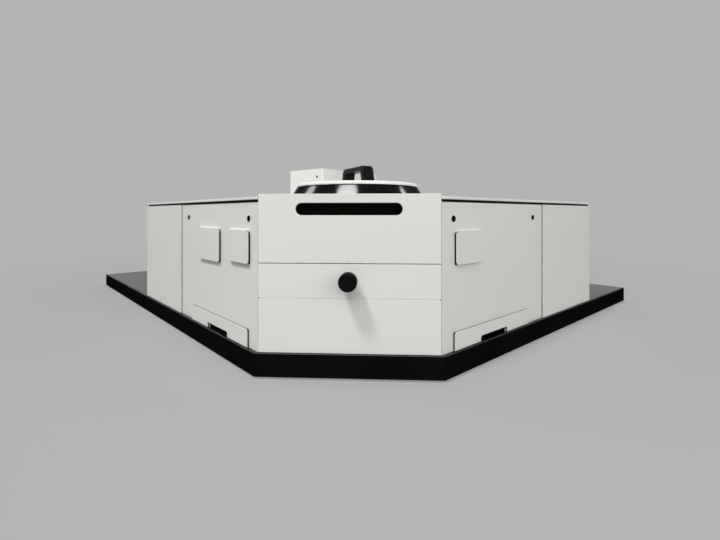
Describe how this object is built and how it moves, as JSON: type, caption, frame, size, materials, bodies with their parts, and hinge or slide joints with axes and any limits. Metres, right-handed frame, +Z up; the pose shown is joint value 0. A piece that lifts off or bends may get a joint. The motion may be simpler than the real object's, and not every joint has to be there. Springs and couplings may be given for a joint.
{
  "type": "fluorescence spectrometer",
  "caption": "Bench fluorescence spectrometer: sample chamber across the corner of a black base plate, an arm along each edge, round lift-off lid with a bridge handle.",
  "frame": {"origin": "bottom centre of the whole instrument, on the surface that its feet stand on", "axes": "+X along the long side of the base plate, +Y from the front to the back, +Z up; the sample chamber's front faces the corner between +X and -Y"},
  "size_m": [1.75, 1.43, 0.502],
  "materials": {
    "white_paint": "satin",
    "lid_white": "satin",
    "black_plate": "satin",
    "black_turned": "satin",
    "black_plastic": "satin",
    "black_rubber": "matte",
    "black_anodised": "matte",
    "bare_steel": "satin",
    "bronze": "satin",
    "motor_grey": "satin",
    "glass": "polished",
    "mirror": "polished"
  },
  "bodies": {
    "housing": {"base_pan": "black_plate", "base_top": "black_plate", "rubber_feet": "black_rubber", "chamber_left_wall": "white_paint", "chamber_right_wall": "white_paint", "chamber_back_wall": "white_paint", "chamber_roof": "white_paint", "front_lower_panel": "white_paint", "front_middle_panel": "white_paint", "knob_bush": "bronze", "port_ring": "black_turned", "sample_stage": "black_anodised", "left_far_panel": "white_paint", "right_far_panel": "white_paint", "left_back_panel": "white_paint", "right_back_panel": "white_paint", "left_partition": "black_anodised", "right_partition": "black_anodised", "left_lid_gasket": "black_rubber", "right_lid_gasket": "black_rubber", "lid_hinge_brackets": "white_paint", "slit_units": "black_anodised", "mirrors": "mirror", "mirror_mounts": "black_anodised", "lenses": "glass", "lens_mounts": "black_anodised", "turret_drives": "motor_grey", "light_source": "motor_grey", "detector": "motor_grey", "power_inlet": "black_plastic", "tower_cover": "white_paint"},
    "left_lid": {"left_lid": "white_paint", "left_lid_hinge_leaves": "white_paint"},
    "left_side_panel": {"left_side_panel": "white_paint", "left_flap_hinges": "white_paint"},
    "left_latch_near": {"left_latch_near": "black_plastic"},
    "left_latch_far": {"left_latch_far": "black_plastic"},
    "left_access_cover": {"left_access_cover": "white_paint"},
    "left_flap_near": {"left_flap_near": "white_paint"},
    "left_flap_far": {"left_flap_far": "white_paint"},
    "left_turret": {"left_grating_turret": "black_anodised", "left_gratings": "mirror"},
    "right_lid": {"right_lid": "white_paint", "right_lid_hinge_leaves": "white_paint"},
    "right_side_panel": {"right_side_panel": "white_paint", "right_flap_hinges": "white_paint"},
    "right_latch_near": {"right_latch_near": "black_plastic"},
    "right_latch_far": {"right_latch_far": "black_plastic"},
    "right_access_cover": {"right_access_cover": "white_paint"},
    "right_flap": {"right_flap": "white_paint"},
    "right_turret": {"right_grating_turret": "black_anodised", "right_gratings": "mirror"},
    "front_cover": {"front_cover": "white_paint", "grip_recess": "black_plastic"},
    "knob": {"knob": "black_plastic", "knob_shaft": "bare_steel"},
    "port_lid_seal": {"port_lid_seal": "black_rubber"},
    "port_lid": {"port_lid": "lid_white", "handle": "black_plastic"},
    "sample_holder": {"sample_holder": "black_anodised"}
  },
  "joints": [
    {"name": "left_lid_hinge", "type": "hinge", "parent": "housing", "child": "left_lid", "pos_m": [0.1958, -0.288, 0.3735], "axis": [-1, 0, 0], "range_deg": [0, 65]},
    {"name": "left_panel_pull", "type": "slide", "parent": "housing", "child": "left_side_panel", "axis": [0, -1, 0], "range_m": [0, 0.12]},
    {"name": "left_latch_near_turn", "type": "hinge", "parent": "left_side_panel", "child": "left_latch_near", "pos_m": [0.5563, -0.706, 0.333], "axis": [0, 1, 0], "range_deg": [0, 90]},
    {"name": "left_latch_far_turn", "type": "hinge", "parent": "left_side_panel", "child": "left_latch_far", "pos_m": [0.1963, -0.706, 0.333], "axis": [0, -1, 0], "range_deg": [0, 90]},
    {"name": "left_cover_pull", "type": "slide", "parent": "left_side_panel", "child": "left_access_cover", "axis": [0, -1, 0], "range_m": [0, 0.05]},
    {"name": "left_flap_near_hinge", "type": "hinge", "parent": "left_side_panel", "child": "left_flap_near", "pos_m": [0.5158, -0.70915, 0.30685], "axis": [-1, 0, 0], "range_deg": [0, 110]},
    {"name": "left_flap_far_hinge", "type": "hinge", "parent": "left_side_panel", "child": "left_flap_far", "pos_m": [0.3478, -0.70915, 0.30685], "axis": [-1, 0, 0], "range_deg": [0, 110]},
    {"name": "left_turret_turn", "type": "hinge", "parent": "housing", "child": "left_turret", "pos_m": [0.0223, -0.516, 0.214], "axis": [0, 0, 1], "continuous": true},
    {"name": "right_lid_hinge", "type": "hinge", "parent": "housing", "child": "right_lid", "pos_m": [0.448, -0.0358, 0.3735], "axis": [0, -1, 0], "range_deg": [0, 65]},
    {"name": "right_panel_pull", "type": "slide", "parent": "housing", "child": "right_side_panel", "axis": [1, 0, 0], "range_m": [0, 0.12]},
    {"name": "right_latch_near_turn", "type": "hinge", "parent": "right_side_panel", "child": "right_latch_near", "pos_m": [0.866, -0.3963, 0.333], "axis": [1, 0, 0], "range_deg": [0, 90]},
    {"name": "right_latch_far_turn", "type": "hinge", "parent": "right_side_panel", "child": "right_latch_far", "pos_m": [0.866, -0.0363, 0.333], "axis": [-1, 0, 0], "range_deg": [0, 90]},
    {"name": "right_cover_pull", "type": "slide", "parent": "right_side_panel", "child": "right_access_cover", "axis": [1, 0, 0], "range_m": [0, 0.05]},
    {"name": "right_flap_hinge", "type": "hinge", "parent": "right_side_panel", "child": "right_flap", "pos_m": [0.86915, -0.3438, 0.30685], "axis": [0, -1, 0], "range_deg": [0, 110]},
    {"name": "right_turret_turn", "type": "hinge", "parent": "housing", "child": "right_turret", "pos_m": [0.676, 0.1377, 0.214], "axis": [0, 0, 1], "continuous": true},
    {"name": "front_cover_pull", "type": "slide", "parent": "housing", "child": "front_cover", "axis": [0.7071, -0.7071, 0], "range_m": [0, 0.12]},
    {"name": "knob_turn", "type": "hinge", "parent": "housing", "child": "knob", "pos_m": [0.73165, -0.57165, 0.206], "axis": [0.7071, -0.7071, 0], "range_deg": [-150, 150]},
    {"name": "port_lid_lift", "type": "slide", "parent": "housing", "child": "port_lid_seal", "axis": [0, 0, 1], "range_m": [0, 0.06]},
    {"name": "port_lid_turn", "type": "hinge", "parent": "port_lid_seal", "child": "port_lid", "pos_m": [0.55699, -0.39275, 0.054], "axis": [0, 0, 1], "continuous": true},
    {"name": "sample_holder_turn", "type": "hinge", "parent": "housing", "child": "sample_holder", "pos_m": [0.55487, -0.39487, 0.054], "axis": [0, 0, 1], "range_deg": [-90, 90]}
  ]
}
